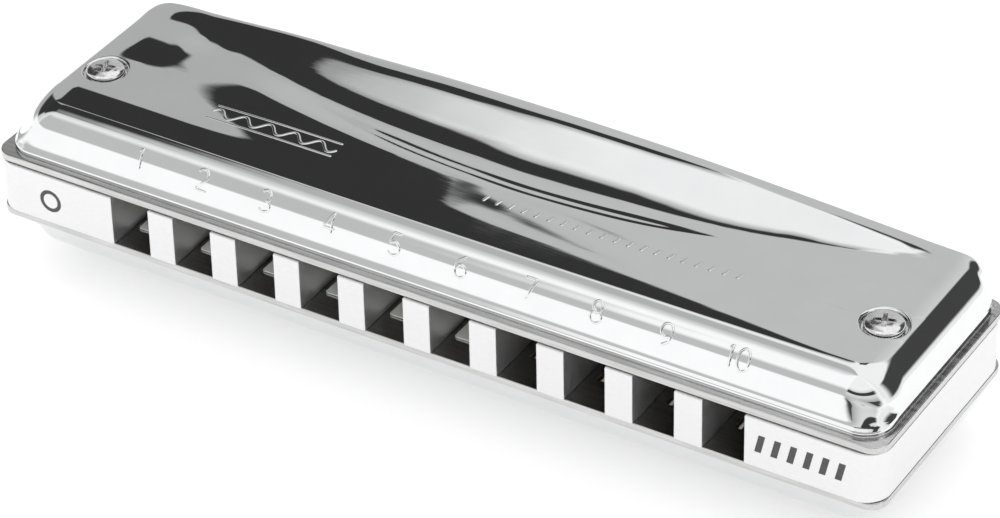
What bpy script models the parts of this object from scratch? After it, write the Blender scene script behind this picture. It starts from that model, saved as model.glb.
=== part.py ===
"""Ten-hole diatonic harmonica with half-valved reeds, as separate working pieces.

Frame: +X runs along the length from the low notes to the high ones, -Y is the mouth side and
+Z is up. The origin is under the middle of the instrument, on the surface that it lies on.
"""
import math

import bmesh
import bpy
from mathutils import Matrix

MM = 0.001

# Driving dimensions
HOLE_COUNT = 10
HOLE_PITCH = 7.5 * MM
HOLE_WIDTH = 4.47 * MM
HOLE_ROW_SHIFT = 0.25 * MM
COMB_LENGTH = 100.6 * MM
COMB_DEPTH = 26.8 * MM
COMB_HEIGHT = 5.64 * MM
DEPTH = 27.0 * MM
EDGE_RADIUS = 2.6 * MM
PLATE_THICKNESS = 0.8 * MM
PLATE_FRONT_SETBACK = 0.25 * MM
CONTACT_GAP = 0.05 * MM

# Covers: pressed sheet, closed at the front and ends, open at the back
COVER_LENGTH = 99.3 * MM
COVER_FRONT = 1.05 * MM
COVER_BACK = 26.9 * MM
COVER_SHEET = 0.5 * MM
LAND_RISE = 4.95 * MM
BACK_EDGE_RISE = 7.3 * MM
LAND_TILT_RISE = 0.5 * MM
FLAT_END_FROM = 36.0 * MM
RIM_ARC_HALF = 47.0 * MM
CREASE_MIDDLE = 14.8 * MM
CREASE_BEND = 4.2
BULGE_EASE = 0.45
COLLAR_HEIGHT = 0.65 * MM
COLLAR_FILLET = 0.2 * MM
FOOT_CORNER = 3.0 * MM
WALL_CORNER = 4.2 * MM
TOP_CORNER = 3.0 * MM

# Fastenings
COVER_SCREW_X = 44.4 * MM
COVER_SCREW_Y = 12.1 * MM
COVER_SCREW_SHANK = 0.9 * MM
COVER_SCREW_HEAD = 2.0 * MM
THROUGH_HOLE = 1.15 * MM
DIMPLE_RADIUS = 2.3 * MM
DIMPLE_FLARE = 0.35 * MM
DIMPLE_DEPTH = 0.55 * MM
PLATE_SCREW_HEAD = 1.4 * MM
PLATE_SCREW_SHANK = 0.65 * MM
PLATE_SCREW_BITE = 2.2 * MM
PLATE_SCREW_HOLE = 0.85 * MM

# Reeds and valves
REED_ROOT = 4.6 * MM
REED_LONGEST = 15.4 * MM
REED_STEP = 0.66 * MM
REED_WIDTH = 2.2 * MM
REED_THICKNESS = 0.25 * MM
REED_STAND_OFF = 0.15 * MM
REED_PAD_LENGTH = 1.6 * MM
REED_PAD_WIDTH = 2.8 * MM
SLOT_SIDE_GAP = 0.1 * MM
SLOT_TIP_GAP = 0.2 * MM
CHAMBER_PAST_SLOT = 2.0 * MM
VALVE_WIDTH = 3.4 * MM
VALVE_THICKNESS = 0.15 * MM
VALVE_ROOT_LAP = 1.0 * MM
VALVE_TIP_LAP = 0.6 * MM
VALVED_BLOW_HOLES = range(6, 10)
VALVED_DRAW_HOLES = range(0, 6)

# Shape of a cover -----------------------------------------------------------------------------

class Side:
    """Wall profile of one side of a cover: step over the collar, wall, then a round shoulder."""

    def __init__(self, step, shoulder_radius, shoulder_inset, wall_angle):
        self.step = step
        self.radius = shoulder_radius
        self.inset = shoulder_inset
        self.wall_angle = wall_angle

    def points(self, shoulder_steps):
        """(inset, drop below the top or None, height above the foot or None) for each ring."""
        rings = [(0, None, 0), (0, None, COLLAR_HEIGHT), (self.step, None, COLLAR_HEIGHT + COLLAR_FILLET)]
        for step in range(shoulder_steps + 1):
            angle = math.radians(self.wall_angle * (1 - step / shoulder_steps))
            inset = self.inset - self.radius * math.sin(angle)
            rings.append((inset, self.radius * (1 - math.cos(angle)), None))
        return rings


FRONT_SIDE = Side(0.4 * MM, 3.2 * MM, 4.2 * MM, 72)
END_SIDE = Side(0.04 * MM, 2.5 * MM, 2.55 * MM, 88)
BACK_SIDE = Side(0.04 * MM, 2.0 * MM, 2.1 * MM, 88)
SHOULDER_STEPS = 6
LONG_STEPS = 20
SHORT_STEPS = 4
CORNER_STEPS = 4


def ease(value):
    """0 below 0, 1 above 1, smooth between."""
    clamped = min(max(value, 0.0), 1.0)
    return clamped * clamped * (3 - 2 * clamped)


def top_rise(x, depth):
    """Height of a cover's outer face over its foot, at x and a distance behind the comb's front."""
    crease = CREASE_MIDDLE + CREASE_BEND * x * x
    tilt = LAND_TILT_RISE * max(1 - (x / FLAT_END_FROM) ** 2, 0.0) ** 2
    front = COVER_FRONT + FRONT_SIDE.inset
    land = LAND_RISE + tilt * min(max((depth - front) / (crease - front), 0.0), 1.0)
    span = COVER_BACK - crease
    if depth <= crease or span <= 0:
        return land
    rim = LAND_RISE + (BACK_EDGE_RISE - LAND_RISE) * max(1 - (x / RIM_ARC_HALF) ** 2, 0.0)
    part = (depth - crease) / span
    eased = ease(part / BULGE_EASE)
    settled = 1 - BULGE_EASE / 2
    if part < BULGE_EASE:
        share = BULGE_EASE * ((part / BULGE_EASE) ** 3 - (part / BULGE_EASE) ** 4 / 2)
    else:
        share = BULGE_EASE / 2 + (part - BULGE_EASE) * eased
    return land + (rim - land) * share / settled


def highest_rise():
    """Height of the cover's back rim over its foot, in the middle."""
    rings = BACK_SIDE.points(SHOULDER_STEPS)[3:]
    return max(top_rise(0, COVER_BACK - inset) - drop for inset, drop, _ in rings)


# Heights, from the lower cover's lowest point up
COVER_RISE = highest_rise()
LOWER_FOOT_Z = COVER_RISE
LOWER_PLATE_Z = LOWER_FOOT_Z + CONTACT_GAP
COMB_Z = LOWER_PLATE_Z + PLATE_THICKNESS + CONTACT_GAP
COMB_TOP_Z = COMB_Z + COMB_HEIGHT
UPPER_PLATE_Z = COMB_TOP_Z + CONTACT_GAP
UPPER_FOOT_Z = UPPER_PLATE_Z + PLATE_THICKNESS + CONTACT_GAP


def depth_y(depth):
    """World Y of a distance behind the comb's front face."""
    return depth - DEPTH / 2


def hole_x(hole):
    return HOLE_ROW_SHIFT + (hole - (HOLE_COUNT - 1) / 2) * HOLE_PITCH


def reed_length(hole):
    return REED_LONGEST - REED_STEP * hole


def clear_scene():
    for old in list(bpy.data.objects):
        bpy.data.objects.remove(old, do_unlink=True)


def principled(name, colour, metallic, roughness):
    material = bpy.data.materials.new(name)
    material.use_nodes = True
    shader = material.node_tree.nodes["Principled BSDF"]
    shader.inputs["Base Color"].default_value = (*colour, 1.0)
    shader.inputs["Metallic"].default_value = metallic
    shader.inputs["Roughness"].default_value = roughness
    material.diffuse_color = (*colour, 1.0)
    return material


def new_object(name, mesh, material=None, location=(0, 0, 0), parent=None):
    piece = bpy.data.objects.new(name, mesh)
    piece.location = location
    if material:
        mesh.materials.clear()
        mesh.materials.append(material)
    if parent:
        piece.parent = parent
    bpy.context.scene.collection.objects.link(piece)
    return piece


def mesh_from(name, build, round_edges=None):
    """Mesh made by build(bmesh), with its faces turned outwards."""
    shape = bmesh.new()
    build(shape)
    bmesh.ops.recalc_face_normals(shape, faces=shape.faces)
    mesh = bpy.data.meshes.new(name)
    shape.to_mesh(mesh)
    shape.free()
    if round_edges is not None:
        mesh.shade_smooth()
        mesh.set_sharp_from_angle(angle=round_edges)
    return mesh


def extrude_outline(shape, points, low, high):
    """Closed prism over an outline of (x, y) points, from height low to high."""
    floor = [shape.verts.new((x, y, low)) for x, y in points]
    face = shape.faces.new(floor)
    lifted = bmesh.ops.extrude_face_region(shape, geom=[face])["geom"]
    verts = [item for item in lifted if isinstance(item, bmesh.types.BMVert)]
    bmesh.ops.translate(shape, verts=verts, vec=(0, 0, high - low))


def turned(shape, profile, segments):
    """Solid of revolution about Z from (radius, height) points that start and end on the axis."""
    rings = []
    for radius, height in profile:
        if radius == 0:
            rings.append([shape.verts.new((0, 0, height))])
            continue
        turns = [2 * math.pi * step / segments for step in range(segments)]
        rings.append([shape.verts.new((radius * math.cos(a), radius * math.sin(a), height)) for a in turns])
    for lower, upper in zip(rings, rings[1:]):
        for step in range(segments):
            after = (step + 1) % segments
            if len(lower) == 1:
                shape.faces.new((lower[0], upper[step], upper[after]))
            elif len(upper) == 1:
                shape.faces.new((lower[step], lower[after], upper[0]))
            else:
                shape.faces.new((lower[step], lower[after], upper[after], upper[step]))


def turned_ring(shape, profile, segments):
    """Ring of revolution about Z from a closed loop of (radius, height) points."""
    rings = []
    for radius, height in profile:
        turns = [2 * math.pi * step / segments for step in range(segments)]
        rings.append([shape.verts.new((radius * math.cos(a), radius * math.sin(a), height)) for a in turns])
    for index, lower in enumerate(rings):
        upper = rings[(index + 1) % len(rings)]
        for step in range(segments):
            after = (step + 1) % segments
            shape.faces.new((lower[step], lower[after], upper[after], upper[step]))


def cutter(name, build, location):
    tool = new_object(name, mesh_from(name, build), location=location)
    tool.hide_render = True
    tool.display_type = "WIRE"
    return tool


def boolean(piece, tool, operation="DIFFERENCE"):
    modifier = piece.modifiers.new(tool.name, "BOOLEAN")
    modifier.operation = operation
    modifier.solver = "EXACT"
    modifier.object = tool


def join_tools(name, tools):
    """One cutter object from tools that do not meet each other."""
    shape = bmesh.new()
    for tool in tools:
        part = tool.data.copy()
        part.transform(Matrix.Translation(tool.location))
        shape.from_mesh(part)
        bpy.data.meshes.remove(part)
        bpy.data.objects.remove(tool, do_unlink=True)
    mesh = bpy.data.meshes.new(name)
    shape.to_mesh(mesh)
    shape.free()
    joined = new_object(name, mesh)
    joined.hide_render = True
    joined.display_type = "WIRE"
    return joined


def box_cutter(name, low, high):
    """Box from corner low to corner high."""
    def build(shape):
        outline = ((low[0], low[1]), (high[0], low[1]), (high[0], high[1]), (low[0], high[1]))
        extrude_outline(shape, outline, low[2], high[2])
    return cutter(name, build, (0, 0, 0))


def drill(name, x, y, low, high, radius, segments=16):
    def build(shape):
        turned(shape, ((0, low), (radius, low), (radius, high), (0, high)), segments)
    return cutter(name, build, (x, y, 0))


def rounded_rectangle(half_x, low_y, high_y, radius, corner_steps):
    """Outline points of a rectangle about x = 0 with round corners, counter-clockwise."""
    centres = ((half_x - radius, low_y + radius, -90), (half_x - radius, high_y - radius, 0),
               (radius - half_x, high_y - radius, 90), (radius - half_x, low_y + radius, 180))
    points = []
    for x, y, start in centres:
        for step in range(corner_steps + 1):
            angle = math.radians(start + 90 * step / corner_steps)
            points.append((x + radius * math.cos(angle), y + radius * math.sin(angle)))
    return points


# Comb -----------------------------------------------------------------------------------------

def chamber_end(hole):
    return REED_ROOT + reed_length(hole) + SLOT_TIP_GAP + CHAMBER_PAST_SLOT


def cover_screw_drills(name, low, high):
    sides = (("left", -COVER_SCREW_X), ("right", COVER_SCREW_X))
    return [drill(f"{name}_{side}", x, depth_y(COVER_SCREW_Y), low, high, THROUGH_HOLE) for side, x in sides]


def plate_screw_places():
    """Two screws behind the chambers and two in the walls between them."""
    behind = depth_y(DEPTH - 2.4 * MM)
    between = depth_y(4.4 * MM)
    wall_left = (hole_x(2) + hole_x(3)) / 2
    wall_right = (hole_x(6) + hole_x(7)) / 2
    return ((-24 * MM, behind), (24 * MM, behind), (wall_left, between), (wall_right, between))


def build_comb(material):
    outline = rounded_rectangle(COMB_LENGTH / 2, depth_y(0), depth_y(COMB_DEPTH), EDGE_RADIUS, 5)
    mesh = mesh_from("comb", lambda shape: extrude_outline(shape, outline, COMB_Z, COMB_TOP_Z),
                     math.radians(30))
    comb = new_object("comb", mesh, material)
    past = 1 * MM
    tools = []
    for hole in range(HOLE_COUNT):
        x = hole_x(hole)
        low = (x - HOLE_WIDTH / 2, depth_y(-past), COMB_Z - past)
        high = (x + HOLE_WIDTH / 2, depth_y(chamber_end(hole)), COMB_TOP_Z + past)
        tools.append(box_cutter(f"chamber_cut_{hole}", low, high))
    tools += cover_screw_drills("comb_drill", COMB_Z - past, COMB_TOP_Z + past)
    blind = PLATE_SCREW_BITE + 0.3 * MM
    for index, (x, y) in enumerate(plate_screw_places()):
        tools.append(drill(f"comb_top_drill_{index}", x, y, COMB_TOP_Z - blind, COMB_TOP_Z + past,
                           PLATE_SCREW_HOLE, 12))
        tools.append(drill(f"comb_low_drill_{index}", x, y, COMB_Z - past, COMB_Z + blind,
                           PLATE_SCREW_HOLE, 12))
    boolean(comb, join_tools("comb_cuts", tools))
    return comb


# Reed plates, reeds and valves ----------------------------------------------------------------

def build_plate(name, low_z, material):
    high_z = low_z + PLATE_THICKNESS
    outline = rounded_rectangle(COMB_LENGTH / 2, depth_y(PLATE_FRONT_SETBACK), depth_y(DEPTH),
                                EDGE_RADIUS, 5)
    mesh = mesh_from(name, lambda shape: extrude_outline(shape, outline, low_z, high_z), math.radians(30))
    plate = new_object(name, mesh, material)
    past = 1 * MM
    tools = []
    for hole in range(HOLE_COUNT):
        half = REED_WIDTH / 2 + SLOT_SIDE_GAP
        x = hole_x(hole)
        low = (x - half, depth_y(REED_ROOT), low_z - past)
        high = (x + half, depth_y(REED_ROOT + reed_length(hole) + SLOT_TIP_GAP), high_z + past)
        tools.append(box_cutter(f"{name}_slot_{hole}", low, high))
    tools += cover_screw_drills(f"{name}_drill", low_z - past, high_z + past)
    for index, (x, y) in enumerate(plate_screw_places()):
        tools.append(drill(f"{name}_screw_drill_{index}", x, y, low_z - past, high_z + past,
                           PLATE_SCREW_HOLE, 12))
    boolean(plate, join_tools(f"{name}_cuts", tools))
    return plate


def build_reed(name, hole, plate_face_z, material):
    """Tongue and its pad, hung below a plate face; its origin is where the tongue starts."""
    half_pad = REED_PAD_WIDTH / 2
    half = REED_WIDTH / 2
    length = reed_length(hole)
    outline = ((-half_pad, -REED_PAD_LENGTH), (half_pad, -REED_PAD_LENGTH), (half_pad, 0), (half, 0),
               (half, length), (-half, length), (-half, 0), (-half_pad, 0))
    mesh = mesh_from(name, lambda shape: extrude_outline(shape, outline, -REED_THICKNESS, 0))
    place = (hole_x(hole), depth_y(REED_ROOT), plate_face_z - REED_STAND_OFF)
    return new_object(name, mesh, material, place)


def build_valve(name, hole, plate_face_z, material):
    """Flap lying on a plate face over the slot; its origin is at its fixed end."""
    half = VALVE_WIDTH / 2
    length = VALVE_ROOT_LAP + reed_length(hole) + SLOT_TIP_GAP + VALVE_TIP_LAP
    clip = 0.7 * MM
    outline = ((-half, 0), (half, 0), (half, length - clip), (half - clip, length),
               (clip - half, length), (-half, length - clip))
    mesh = mesh_from(name, lambda shape: extrude_outline(shape, outline, 0, VALVE_THICKNESS))
    place = (hole_x(hole), depth_y(REED_ROOT - VALVE_ROOT_LAP), plate_face_z + CONTACT_GAP)
    return new_object(name, mesh, material, place)


# Covers ---------------------------------------------------------------------------------------

def ring_radius(index, ring_count):
    if index < 2:
        return FOOT_CORNER
    part = (index - 2) / (ring_count - 3)
    rising = FOOT_CORNER + (WALL_CORNER - FOOT_CORNER) * min(part * 4, 1)
    return rising + (TOP_CORNER - WALL_CORNER) * max(part * 4 - 1, 0) / 3


def ring_outline(insets, radius):
    """Outline points from the front left corner's middle, with each side's own inset."""
    left = -COVER_LENGTH / 2 + insets["end"]
    right = COVER_LENGTH / 2 - insets["end"]
    front = COVER_FRONT + insets["front"]
    back = COVER_BACK - insets["back"]
    corners = ((left + radius, front + radius, 180), (right - radius, front + radius, 270),
               (right - radius, back - radius, 0), (left + radius, back - radius, 90))
    counts = (LONG_STEPS, SHORT_STEPS, LONG_STEPS, SHORT_STEPS)
    points = []
    for index, (x, y, start) in enumerate(corners):
        arc = []
        for step in range(CORNER_STEPS + 1):
            angle = math.radians(start + 90 * step / CORNER_STEPS)
            arc.append((x + radius * math.cos(angle), y + radius * math.sin(angle), angle))
        points += arc[:-1]
        last = arc[-1]
        next_x, next_y, next_start = corners[(index + 1) % 4]
        turn = math.radians(next_start)
        target = (next_x + radius * math.cos(turn), next_y + radius * math.sin(turn))
        for step in range(counts[index]):
            part = step / counts[index]
            points.append((last[0] + (target[0] - last[0]) * part,
                           last[1] + (target[1] - last[1]) * part, last[2]))
    half_corner = CORNER_STEPS // 2
    return points[half_corner:] + points[:half_corner]


def blend_sides(angle, front, end, back):
    """A value for a wall that faces the given angle, from the values of its three kinds of side."""
    across = math.cos(angle) ** 2
    lengthways = math.sin(angle) ** 2
    return end * across + (back if math.sin(angle) > 0 else front) * lengthways


def sheet_face(shape):
    """The cover's outer face as one open sheet, foot at height 0, with the back window left out."""
    sides = [side.points(SHOULDER_STEPS) for side in (FRONT_SIDE, END_SIDE, BACK_SIDE)]
    rings = []
    for index, (front, end, back) in enumerate(zip(*sides)):
        insets = {"front": front[0], "end": end[0], "back": back[0]}
        ring = []
        for x, depth, angle in ring_outline(insets, ring_radius(index, len(sides[0]))):
            if front[1] is None:
                height = front[2]
            else:
                height = top_rise(x, depth) - blend_sides(angle, front[1], end[1], back[1])
            ring.append(shape.verts.new((x, depth_y(depth), height)))
        rings.append(ring)
    count = len(rings[0])
    back_start = LONG_STEPS + SHORT_STEPS + 3 * CORNER_STEPS - CORNER_STEPS // 2
    window_steps = range(back_start + 1, back_start + LONG_STEPS - 1)
    window_rings = range(3)
    for index, (outer, inner) in enumerate(zip(rings, rings[1:])):
        for step in range(count):
            if index in window_rings and step in window_steps:
                continue
            after = (step + 1) % count
            shape.faces.new((outer[step], outer[after], inner[after], inner[step]))
    fill_top(shape, rings[-1])
    loose = [vert for vert in shape.verts if not vert.link_faces]
    bmesh.ops.delete(shape, geom=loose, context="VERTS")


def fill_top(shape, ring):
    """Grid over the inside of the top ring, lofted between its four sides."""
    across = LONG_STEPS + CORNER_STEPS
    up = SHORT_STEPS + CORNER_STEPS
    front = ring[:across + 1]
    right = ring[across:across + up + 1]
    back = ring[across + up:2 * across + up + 1][::-1]
    left = ([ring[0]] + ring[2 * across + up:][::-1])
    grid = [[None] * (up + 1) for _ in range(across + 1)]
    for i in range(across + 1):
        for j in range(up + 1):
            if j == 0:
                grid[i][j] = front[i]
            elif j == up:
                grid[i][j] = back[i]
            elif i == 0:
                grid[i][j] = left[j]
            elif i == across:
                grid[i][j] = right[j]
            else:
                u = i / across
                v = j / up
                place = (front[i].co * (1 - v) + back[i].co * v + left[j].co * (1 - u) + right[j].co * u
                         - front[0].co * (1 - u) * (1 - v) - front[-1].co * u * (1 - v)
                         - back[0].co * (1 - u) * v - back[-1].co * u * v)
                place.z = top_rise(place.x, place.y + DEPTH / 2)
                grid[i][j] = shape.verts.new(place)
    for i in range(across):
        for j in range(up):
            shape.faces.new((grid[i][j], grid[i + 1][j], grid[i + 1][j + 1], grid[i][j + 1]))


def dimple_profile():
    """Closed loop of the pressed cup that a cover screw's head sits in, from the foot up."""
    top = LAND_RISE
    floor = top - DIMPLE_DEPTH
    outside = DIMPLE_RADIUS + DIMPLE_FLARE
    return ((outside + COVER_SHEET, top), (outside, top), (DIMPLE_RADIUS + 0.1 * MM, top - 0.12 * MM),
            (DIMPLE_RADIUS, floor), (THROUGH_HOLE, floor), (THROUGH_HOLE, floor - COVER_SHEET),
            (DIMPLE_RADIUS + COVER_SHEET / 2, floor - COVER_SHEET),
            (outside + COVER_SHEET, top - COVER_SHEET))


def build_cover(name, foot_z, upside_down, material):
    """Cover shell; an upside-down one hangs below its foot plane."""
    flip = Matrix.Scale(-1, 4, (0, 0, 1)) if upside_down else Matrix.Identity(4)
    lift = Matrix.Translation((0, 0, foot_z)) @ flip

    shape = bmesh.new()
    sheet_face(shape)
    shape.transform(lift)
    if upside_down:
        bmesh.ops.reverse_faces(shape, faces=shape.faces)
    mesh = bpy.data.meshes.new(name)
    shape.to_mesh(mesh)
    shape.free()
    mesh.shade_smooth()
    cover = new_object(name, mesh, material)
    solidify = cover.modifiers.new("sheet", "SOLIDIFY")
    solidify.thickness = COVER_SHEET
    solidify.offset = -1
    solidify.use_rim = True

    cuts = []
    cups = []
    for side, x in (("left", -COVER_SCREW_X), ("right", COVER_SCREW_X)):
        place = (x, depth_y(COVER_SCREW_Y), 0)
        reach = DIMPLE_RADIUS + DIMPLE_FLARE + COVER_SHEET / 2

        def hole_shape(shape):
            low = LAND_RISE - 2 * COVER_SHEET
            turned(shape, ((0, low), (reach, low), (reach, COVER_RISE), (0, COVER_RISE)), 24)
            shape.transform(lift)

        def cup_shape(shape):
            turned_ring(shape, dimple_profile(), 24)
            shape.transform(lift)

        cuts.append(cutter(f"{name}_hole_{side}", hole_shape, place))
        cups.append(cutter(f"{name}_cup_{side}", cup_shape, place))
    boolean(cover, join_tools(f"{name}_holes", cuts))
    boolean(cover, join_tools(f"{name}_cups", cups), "UNION")
    return cover


# Fastenings -----------------------------------------------------------------------------------

def build_cover_screw(side, x, material):
    """Pan head in the upper dimple, with a shank down to the nut below."""
    seat = UPPER_FOOT_Z + LAND_RISE - DIMPLE_DEPTH + CONTACT_GAP
    tip = LOWER_FOOT_Z - LAND_RISE + DIMPLE_DEPTH - 0.2 * MM
    rim = 0.45 * MM
    crown = 0.95 * MM
    profile = ((0, tip), (COVER_SCREW_SHANK - 0.15 * MM, tip), (COVER_SCREW_SHANK, tip + 0.2 * MM),
               (COVER_SCREW_SHANK, seat), (COVER_SCREW_HEAD, seat), (COVER_SCREW_HEAD, seat + rim),
               (COVER_SCREW_HEAD * 0.82, seat + 0.78 * MM), (COVER_SCREW_HEAD * 0.5, seat + 0.92 * MM),
               (0, seat + crown))
    name = f"cover_screw_{side}"
    mesh = mesh_from(name, lambda shape: turned(shape, profile, 20), math.radians(35))
    place = (x, depth_y(COVER_SCREW_Y), 0)
    screw = new_object(name, mesh, material, place)
    recess_half = 1.2 * MM
    blade_half = 0.22 * MM
    for index, (half_x, half_y) in enumerate(((recess_half, blade_half), (blade_half, recess_half))):
        low = (place[0] - half_x, place[1] - half_y, seat + 0.25 * MM)
        high = (place[0] + half_x, place[1] + half_y, seat + 2 * MM)
        boolean(screw, box_cutter(f"{name}_recess_{index}", low, high))
    return screw


def build_cover_nut(side, x, material):
    """Flanged round nut in the lower dimple, with a slot across its face."""
    seat = LOWER_FOOT_Z - LAND_RISE + DIMPLE_DEPTH - CONTACT_GAP
    bore = COVER_SCREW_SHANK + 0.06 * MM
    low = seat - 0.9 * MM
    profile = ((bore, seat), (bore, low), (COVER_SCREW_HEAD * 0.75, low), (COVER_SCREW_HEAD, low + 0.3 * MM),
               (COVER_SCREW_HEAD, seat))
    name = f"cover_nut_{side}"
    mesh = mesh_from(name, lambda shape: turned_ring(shape, profile, 20), math.radians(35))
    place = (x, depth_y(COVER_SCREW_Y), 0)
    nut = new_object(name, mesh, material, place)
    reach = 3 * MM
    slot = box_cutter(f"{name}_slot", (x - 0.3 * MM, place[1] - reach, low - reach),
                      (x + 0.3 * MM, place[1] + reach, low + 0.35 * MM))
    boolean(nut, slot)
    return nut


def build_plate_screw(name, x, y, face_z, upwards, material):
    """Small cheese-head screw on a plate's outer face; upwards is +1 on the upper plate."""
    head = 0.6 * MM
    seat = CONTACT_GAP
    tip = -PLATE_THICKNESS - CONTACT_GAP - PLATE_SCREW_BITE
    profile = ((0, tip), (PLATE_SCREW_SHANK, tip + 0.3 * MM), (PLATE_SCREW_SHANK, seat),
               (PLATE_SCREW_HEAD, seat), (PLATE_SCREW_HEAD, seat + head), (0, seat + head))

    def build(shape):
        turned(shape, profile, 12)
        shape.transform(Matrix.Scale(upwards, 4, (0, 0, 1)))

    mesh = mesh_from(name, build, math.radians(35))
    screw = new_object(name, mesh, material, (x, y, face_z))
    low = seat + head * 0.45
    high = seat + head + 1 * MM
    edges = sorted((face_z + upwards * low, face_z + upwards * high))
    slot = box_cutter(f"{name}_slot", (x - 2 * MM, y - 0.2 * MM, edges[0]),
                      (x + 2 * MM, y + 0.2 * MM, edges[1]))
    boolean(screw, slot)
    return screw


def main():
    clear_scene()
    build_comb(principled("satin_aluminium", (0.78, 0.78, 0.79), 0.9, 0.32))

    upper_top_z = UPPER_PLATE_Z + PLATE_THICKNESS
    lower_top_z = LOWER_PLATE_Z + PLATE_THICKNESS
    for side, low_z in (("upper", UPPER_PLATE_Z), ("lower", LOWER_PLATE_Z)):
        plated = principled(f"{side}_plated_brass", (0.75, 0.74, 0.72), 1, 0.2)
        build_plate(f"{side}_reed_plate", low_z, plated)

    for hole in range(HOLE_COUNT):
        number = f"{hole + 1:02d}"
        bronze = principled(f"blow_bronze_{number}", (0.72, 0.52, 0.28), 1, 0.25)
        build_reed(f"blow_reed_{number}", hole, UPPER_PLATE_Z, bronze)
        bronze = principled(f"draw_bronze_{number}", (0.72, 0.52, 0.28), 1, 0.25)
        build_reed(f"draw_reed_{number}", hole, LOWER_PLATE_Z, bronze)
    for hole in VALVED_BLOW_HOLES:
        number = f"{hole + 1:02d}"
        film = principled(f"blow_film_{number}", (0.86, 0.87, 0.86), 0, 0.4)
        build_valve(f"blow_valve_{number}", hole, upper_top_z, film)
    for hole in VALVED_DRAW_HOLES:
        number = f"{hole + 1:02d}"
        film = principled(f"draw_film_{number}", (0.86, 0.87, 0.86), 0, 0.4)
        build_valve(f"draw_valve_{number}", hole, lower_top_z, film)

    for side, foot_z, upside_down in (("upper", UPPER_FOOT_Z, False), ("lower", LOWER_FOOT_Z, True)):
        chrome = principled(f"{side}_chrome", (0.86, 0.86, 0.87), 1, 0.04)
        build_cover(f"{side}_cover", foot_z, upside_down, chrome)

    for side, x in (("left", -COVER_SCREW_X), ("right", COVER_SCREW_X)):
        build_cover_screw(side, x, principled(f"screw_steel_{side}", (0.8, 0.8, 0.8), 1, 0.15))
        build_cover_nut(side, x, principled(f"nut_steel_{side}", (0.8, 0.8, 0.8), 1, 0.15))
    for index, (x, y) in enumerate(plate_screw_places(), start=1):
        steel = principled(f"upper_plate_screw_steel_{index}", (0.7, 0.62, 0.4), 1, 0.25)
        build_plate_screw(f"upper_plate_screw_{index}", x, y, upper_top_z, 1, steel)
        steel = principled(f"lower_plate_screw_steel_{index}", (0.7, 0.62, 0.4), 1, 0.25)
        build_plate_screw(f"lower_plate_screw_{index}", x, y, LOWER_PLATE_Z, -1, steel)


main()
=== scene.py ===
"""Looks of the ten-hole diatonic harmonica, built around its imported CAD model. Metres throughout."""

import math

import bmesh
import bpy
import numpy as np
from mathutils import Matrix, Vector


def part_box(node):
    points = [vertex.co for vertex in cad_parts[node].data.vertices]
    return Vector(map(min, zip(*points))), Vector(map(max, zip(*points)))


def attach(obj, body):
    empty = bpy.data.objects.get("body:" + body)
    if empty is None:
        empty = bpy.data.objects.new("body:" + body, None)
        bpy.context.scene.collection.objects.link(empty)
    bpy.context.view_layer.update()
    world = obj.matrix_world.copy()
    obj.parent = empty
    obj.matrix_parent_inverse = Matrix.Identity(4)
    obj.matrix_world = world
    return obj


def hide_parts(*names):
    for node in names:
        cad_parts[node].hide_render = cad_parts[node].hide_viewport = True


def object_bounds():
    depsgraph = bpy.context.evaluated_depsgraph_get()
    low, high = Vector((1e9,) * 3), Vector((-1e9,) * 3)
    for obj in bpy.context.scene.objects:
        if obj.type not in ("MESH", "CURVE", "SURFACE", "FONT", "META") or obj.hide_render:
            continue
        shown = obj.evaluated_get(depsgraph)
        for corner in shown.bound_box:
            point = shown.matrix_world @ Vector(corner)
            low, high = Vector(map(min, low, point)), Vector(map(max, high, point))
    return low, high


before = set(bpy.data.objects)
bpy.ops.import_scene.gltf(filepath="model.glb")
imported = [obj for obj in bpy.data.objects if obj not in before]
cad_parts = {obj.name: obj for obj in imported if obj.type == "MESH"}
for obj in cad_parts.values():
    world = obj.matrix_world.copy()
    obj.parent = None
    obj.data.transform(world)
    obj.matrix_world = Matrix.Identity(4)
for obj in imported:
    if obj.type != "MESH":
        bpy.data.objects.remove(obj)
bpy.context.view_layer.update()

MM = 0.001

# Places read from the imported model
COMB_LOW, COMB_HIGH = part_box("comb")
FRONT_Y = COMB_LOW.y
UPPER_PLATE_LOW, UPPER_PLATE_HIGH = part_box("upper_reed_plate")
LOWER_PLATE_LOW, LOWER_PLATE_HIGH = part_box("lower_reed_plate")
UPPER_COVER_LOW, UPPER_COVER_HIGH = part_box("upper_cover")
LOWER_FOOT_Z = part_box("lower_cover")[1].z

HOLE_COUNT = 10
HOLE_PITCH = 7.5 * MM
HOLE_WIDTH = 4.47 * MM
HOLE_ROW_SHIFT = 0.25 * MM
EDGE_RADIUS = 2.6 * MM
PLATE_RADIUS = 1.9 * MM
CONTACT_GAP = 0.05 * MM
REED_ROOT = 4.6 * MM
REED_LONGEST = 15.4 * MM
REED_STEP = 0.66 * MM
REED_HALF = 1.1 * MM
REED_PAD_HALF = 1.4 * MM
REED_PAD_LENGTH = 1.6 * MM
REED_THICKNESS = 0.25 * MM
REED_STAND_OFF = 0.15 * MM
SLOT_SIDE_GAP = 0.1 * MM
SLOT_TIP_GAP = 0.2 * MM
CHAMBER_PAST_SLOT = 2.0 * MM
VALVE_HALF = 1.7 * MM
VALVE_ROOT_LAP = 1.0 * MM
VALVE_TIP_LAP = 0.6 * MM
VALVE_FILM = 0.1 * MM
VALVE_THICKNESS = 0.15 * MM
VALVED_BLOW_HOLES = range(6, 10)
VALVED_DRAW_HOLES = range(0, 6)
RAISED_CORNER_HOLES = range(2, 5)
PLATE_SCREW_BITE = 2.2 * MM
PLATE_SCREW_HOLE = 0.85 * MM
MARK_DEPTH = 0.05 * MM
PAST = 1 * MM
SHARP_ANGLE = math.radians(35)
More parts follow.
